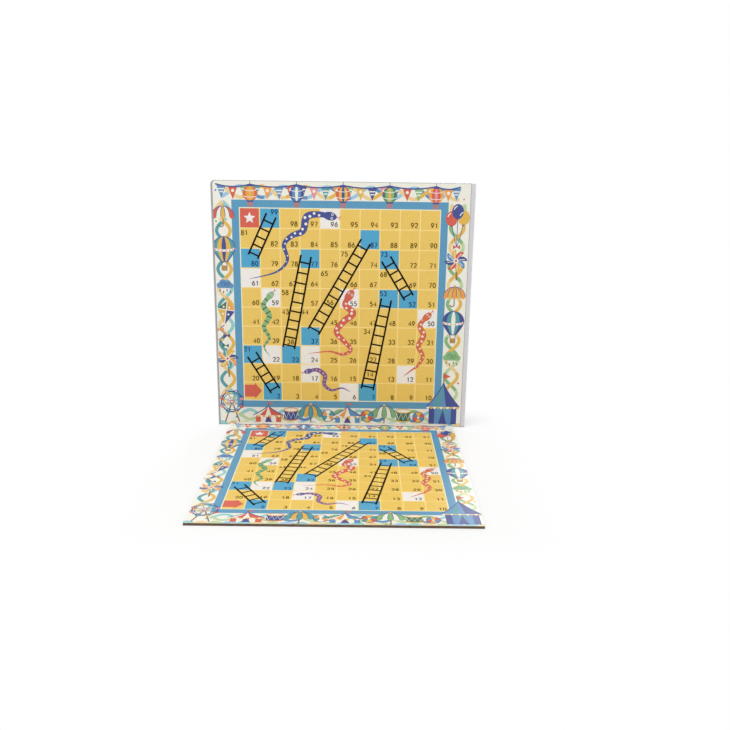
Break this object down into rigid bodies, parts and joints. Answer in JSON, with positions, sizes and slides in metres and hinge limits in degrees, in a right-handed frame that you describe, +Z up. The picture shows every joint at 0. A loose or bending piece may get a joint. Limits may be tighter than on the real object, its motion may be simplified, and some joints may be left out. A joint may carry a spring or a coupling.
{
  "type": "folding game board",
  "caption": "Two-leaf folding game board with a printed numbered grid of ladders and snakes, standing open on a cloth hinge; closes face to face and opens flat.",
  "frame": {"origin": "centre of the base of the standing board, on the table", "axes": "+X to the right along the fold, +Y to the rear towards the standing leaf, +Z up"},
  "size_m": [0.2406, 0.2186, 0.2331],
  "materials": {
    "greyboard": "raw solid greyboard, brown-grey and fibrous at the cut edges",
    "printed_paper": "offset-printed paper with a satin varnish",
    "lining_paper": "plain uncoated paper",
    "cover_paper": "pale coated wrapping paper with turned-in edges",
    "hinge_cloth": "thin cream book cloth"
  },
  "bodies": {
    "lower_leaf": {"lower_back_sheet": "lining_paper", "lower_board": "greyboard", "lower_face_sheet": "printed_paper", "hinge_cloth_lower": "hinge_cloth"},
    "upper_leaf": {"upper_board": "greyboard", "upper_cover_paper": "cover_paper", "upper_face_sheet": "printed_paper", "hinge_cloth_upper": "hinge_cloth"}
  },
  "joints": [
    {"name": "fold", "type": "hinge", "parent": "lower_leaf", "child": "upper_leaf", "pos_m": [0, 0.10668, 0.00265], "axis": [1, 0, 0], "range_deg": [-90, 90]}
  ]
}
